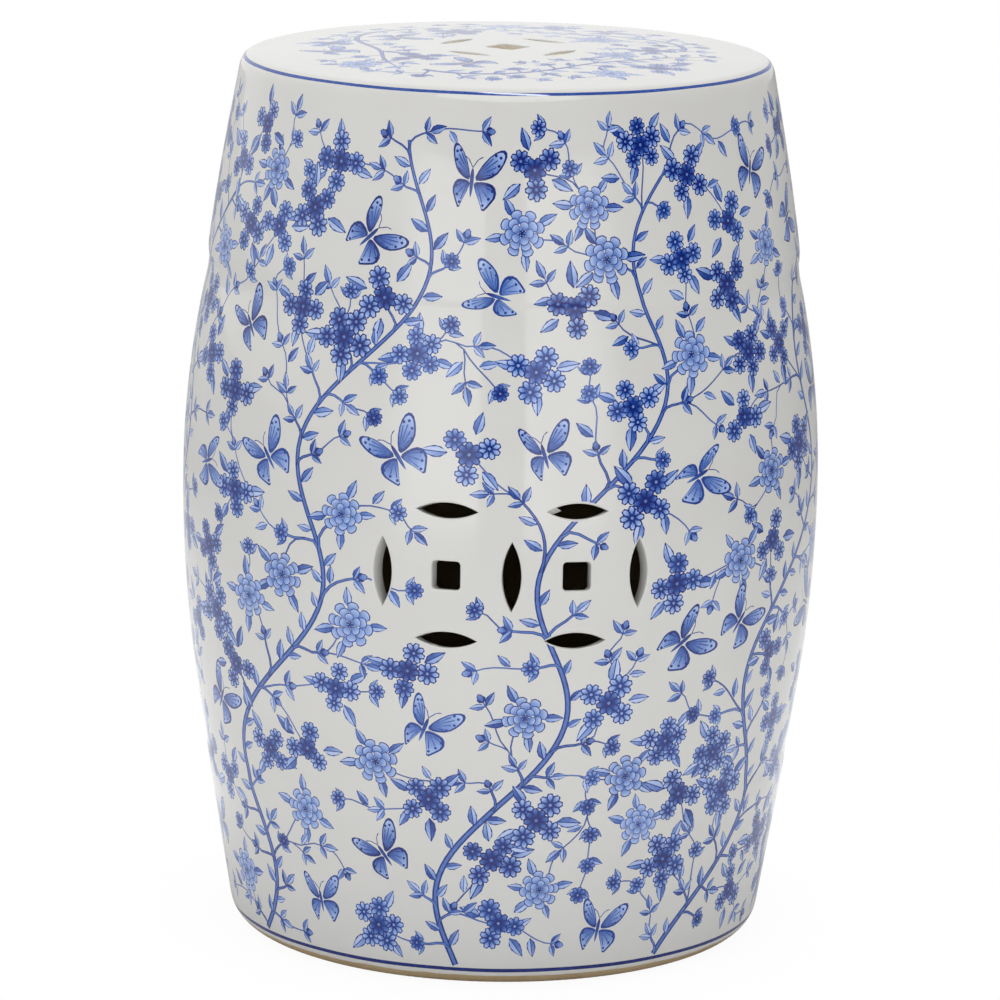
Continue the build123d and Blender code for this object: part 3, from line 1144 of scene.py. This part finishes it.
def glaze_material():
    """Glossy off-white glaze over pooled blue pigment, with a few specks, and bare clay below its edge."""
    material, tree, shader = new_material("blue_and_white_glaze")
    place = add_node(tree, "TexCoord").outputs["Object"]
    pigment = add_node(tree, "Attribute", attribute_name="pigment").outputs["Fac"]

    white = blended(tree, noise(tree, place, 22, 3), linear(203, 202, 199), linear(210, 210, 207))
    pooled = maths(tree, "MULTIPLY", pigment, span(tree, noise(tree, place, 420, 3), 0.25, 0.75, 0.86, 1.1))
    blues = add_node(tree, "ValToRGB", {"Fac": pooled})
    ramp = blues.color_ramp
    shades = {
        0.0: (200, 211, 236),
        0.25: (144, 168, 217),
        0.5: (86, 118, 186),
        0.75: (30, 68, 148),
        1.0: (4, 24, 104),
    }
    while len(ramp.elements) < len(shades):
        ramp.elements.new(0.5)
    for element, (position, shade) in zip(ramp.elements, shades.items()):
        element.position = position
        element.color = linear(*shade)
    painted = blended(tree, span(tree, pigment, 0.02, 0.08, 0, 1), white, blues.outputs["Color"])

    cells = add_node(tree, "TexVoronoi", {"Vector": place, "Scale": 46.0})
    rare = add_node(tree, "SeparateColor", {"Color": cells.outputs["Color"]}).outputs["Red"]
    dot = span(tree, cells.outputs["Distance"], 0.014, 0.024, 1, 0)
    speck = maths(tree, "MULTIPLY", dot, span(tree, rare, 0.72, 0.75, 0, 0.55))
    specked = blended(tree, speck, painted, linear(110, 106, 104))

    level = add_node(tree, "SeparateXYZ", {"Vector": place}).outputs["Z"]
    ragged = maths(tree, "ADD", level, span(tree, noise(tree, place, 60, 3), 0.3, 0.7, -0.0004, 0.0004))
    bare = span(tree, ragged, 0.006, 0.0064, 1, 0)
    clay = blended(tree, noise(tree, place, 180, 4), CLAY_DARK, CLAY_PALE)
    colour = blended(tree, bare, specked, clay)

    gloss = span(tree, noise(tree, place, 90), 0.3, 0.7, 0.05, 0.085)
    roughness = maths(tree, "MAXIMUM", gloss, maths(tree, "MULTIPLY", bare, CLAY_ROUGHNESS[0]))
    ripple = bump(tree, noise(tree, place, 20, 2), 0.3, 0.0006)
    inputs = {"Base Color": colour, "Roughness": roughness, "Normal": ripple, "IOR": GLAZE_IOR}
    connect(tree, shader, inputs)
    return material


def clay_material(name, dark, pale):
    """Unglazed buff stoneware: sandy, mottled and dull."""
    material, tree, shader = new_material(name)
    place = add_node(tree, "TexCoord").outputs["Object"]
    mottle = blended(tree, noise(tree, place, 70, 4), dark, pale)
    grain = span(tree, noise(tree, place, 1600, 2), 0.3, 0.7, 0, 0.35)
    colour = blended(tree, grain, mottle, dark)
    roughness = span(tree, noise(tree, place, 300, 2), 0.3, 0.7, *CLAY_ROUGHNESS)
    sand = bump(tree, noise(tree, place, 1300, 3), 0.5, 0.0003)
    connect(tree, shader, {"Base Color": colour, "Roughness": roughness, "Normal": sand})
    return material


# Stage: floor, light and camera, in metres

FLOOR_HALF = 9.0
FLOOR_WHITE = (0.96, 0.96, 0.96, 1)
# The height that the lights above face, and the softboxes: their place and size, and the shares that fade
STOOL_MIDDLE = 0.3
BOX_AWAY = 1.0
BOX_HEIGHT = 0.6
BOX_SIDE_FADE = 0.35
BOX_LOW_FADE = 0.2
CAMERA_AWAY = 2.797
CAMERA_UP = 0.830
CAMERA_AZIMUTH = radians(-2.2)
CAMERA_PITCH = radians(12.25)
CAMERA_ROLL = radians(0.97)
CAMERA_LENS = 197.6


def white_for_eye(tree, mirrored):
    """How white the surroundings look: 1 straight on, less in a mirror, 0 for a ray that gathers light."""
    path = add_node(tree, "LightPath")
    seen = maths(tree, "MAXIMUM", path.outputs["Is Camera Ray"], path.outputs["Is Transmission Ray"])
    return maths(tree, "MAXIMUM", seen, maths(tree, "MULTIPLY", path.outputs["Is Glossy Ray"], mirrored))


def make_floor():
    """A white floor that keeps the stool's shadow near the foot. In the glaze it glows with a painted
    reflection: a painted shadow near the foot, greyer far off and darker to the right.
    """
    mesh = bpy.data.meshes.new("floor")
    corners = [(x * FLOOR_HALF, y * FLOOR_HALF, 0) for x, y in ((-1, -1), (1, -1), (1, 1), (-1, 1))]
    mesh.from_pydata(corners, [], [(0, 1, 2, 3)])
    material, tree, shader = new_material("pale_floor")
    connect(tree, shader, {"Base Color": FLOOR_WHITE, "Roughness": 0.9, "Specular IOR Level": 0.0})
    place = add_node(tree, "TexCoord").outputs["Object"]
    across = add_node(tree, "SeparateXYZ", {"Vector": place}).outputs["X"]
    away = add_node(tree, "VectorMath", {0: place}, operation="LENGTH").outputs["Value"]
    # Painted reflection for the glaze: the floor's glow is a painted shadow near the foot, dimmer far off
    # and darker to the right
    near = span(tree, away, 0.14, 0.28, 0.4, 1.0)
    far = span(tree, away, 0.5, 1.3, 1.0, 0.48)
    lean = span(tree, across, -1.5, 1.5, 0.18, -0.18)
    mirrored = maths(tree, "ADD", maths(tree, "MULTIPLY", near, far), lean)
    whiteness = maths(tree, "MULTIPLY", white_for_eye(tree, 1.0), span(tree, away, 0.13, 0.24, 0.95, 1.0))
    glow = add_node(tree, "Emission", {"Strength": white_for_eye(tree, mirrored)})
    looks = {0: whiteness, 1: shader.outputs["BSDF"], 2: glow.outputs["Emission"]}
    mixed = add_node(tree, "MixShader", looks).outputs["Shader"]
    connect(tree, tree.nodes["Material Output"], {"Surface": mixed})
    mesh.materials.append(material)
    floor = add_object("floor", mesh)


def by_direction(tree, level, lean):
    """A level of light, never below 0, that leans evenly with the direction that it comes from."""
    towards = add_node(tree, "TexCoord").outputs["Generated"]
    along = add_node(tree, "VectorMath", {0: towards, 1: lean}, operation="DOT_PRODUCT").outputs["Value"]
    return maths(tree, "MAXIMUM", maths(tree, "ADD", along, level), 0.0)


def make_world(ambient, mirrored):
    """White surroundings. Their light and their look in the glaze each have a level and a lean."""
    world = bpy.data.worlds.new("studio")
    bpy.context.scene.world = world
    world.use_nodes = True
    tree = world.node_tree
    seen = white_for_eye(tree, by_direction(tree, *mirrored))
    gathered = maths(tree, "SUBTRACT", 1.0, white_for_eye(tree, 1.0))
    light = maths(tree, "MULTIPLY", by_direction(tree, *ambient), gathered)
    strength = maths(tree, "ADD", seen, light)
    connect(tree, tree.nodes["Background"], {"Strength": strength, "Color": (1, 1, 1, 1)})


def area_lamp(name, shape, place, target, width, height, power):
    """A soft light at a place, facing a target."""
    light = bpy.data.lights.new(name, "AREA")
    light.shape = shape
    light.size = width
    light.size_y = height
    light.energy = power
    lamp = add_object(name, light)
    lamp.location = place
    lamp.rotation_euler = (Vector(place) - Vector(target)).to_track_quat("Z", "Y").to_euler()
    return light


def softbox(name, azimuth, width, power):
    """An upright soft light at an angle to the right of the front. Its lower and outer edges fade."""
    turn = radians(azimuth)
    middle = BOX_HEIGHT / 2
    place = (BOX_AWAY * sin(turn), -BOX_AWAY * cos(turn), middle)
    light = area_lamp(name, "RECTANGLE", place, (0, 0, middle), width, BOX_HEIGHT, power)
    light.use_nodes = True
    tree = light.node_tree
    spot = add_node(tree, "NewGeometry").outputs["Parametric"]
    share = add_node(tree, "SeparateXYZ", {"Vector": spot})
    outer = (0.0, BOX_SIDE_FADE) if azimuth < 0 else (1.0, 1.0 - BOX_SIDE_FADE)
    across = span(tree, share.outputs["X"], *outer, 0, 1)
    up = span(tree, share.outputs["Y"], 0.0, BOX_LOW_FADE, 0, 1)
    connect(tree, tree.nodes["Emission"], {"Strength": maths(tree, "MULTIPLY", across, up)})


def overhead(name, place, width, depth, power):
    """A soft oval light above, facing the stool."""
    area_lamp(name, "ELLIPSE", place, (0, 0, STOOL_MIDDLE), width, depth, power)


def make_camera():
    """The photograph's viewpoint: a long lens, a little above the seat and turned a little to the left."""
    data = bpy.data.cameras.new("camera")
    data.sensor_width = 36.0
    data.lens = CAMERA_LENS
    data.clip_end = 50.0
    level_ahead = Vector((-sin(CAMERA_AZIMUTH), cos(CAMERA_AZIMUTH), 0))
    ahead = cos(CAMERA_PITCH) * level_ahead - Vector((0, 0, sin(CAMERA_PITCH)))
    level_right = Vector((cos(CAMERA_AZIMUTH), sin(CAMERA_AZIMUTH), 0))
    level_up = level_right.cross(ahead)
    right = cos(CAMERA_ROLL) * level_right + sin(CAMERA_ROLL) * level_up
    up = cos(CAMERA_ROLL) * level_up - sin(CAMERA_ROLL) * level_right
    camera = add_object("camera", data)
    place = Vector((sin(CAMERA_AZIMUTH) * CAMERA_AWAY, -cos(CAMERA_AZIMUTH) * CAMERA_AWAY, CAMERA_UP))
    camera.matrix_world = Matrix.Translation(place) @ Matrix((right, up, -ahead)).transposed().to_4x4()
    bpy.context.scene.camera = camera


bare_clay = clay_material("bare_buff_clay", CLAY_DARK, CLAY_PALE)
# The seat holes' cut walls: clay painted paler, as painted light against the shade inside the holes
cut_clay_painted_light = clay_material("cut_clay_with_painted_light", CUT_CLAY_DARK_PAINTED_LIGHT, CUT_CLAY_PALE_PAINTED_LIGHT)
build_stool(glaze_material(), bare_clay, cut_clay_painted_light)
make_floor()
make_world(ambient=(0.87, (-0.13, 0.95, -0.36)), mirrored=(0.6, (-0.4, 0.33, -0.1)))
softbox("left_softbox", azimuth=-26, width=0.6, power=1.55)
softbox("right_softbox", azimuth=23, width=0.62, power=1.75)
overhead("front_top", place=(0.0, -1.5, 2.3), width=2.2, depth=2.2, power=22)
overhead("overhead", place=(0.1, -0.2, 2.45), width=0.3, depth=1.2, power=13)
make_camera()
bpy.context.scene.view_settings.view_transform = "Standard"
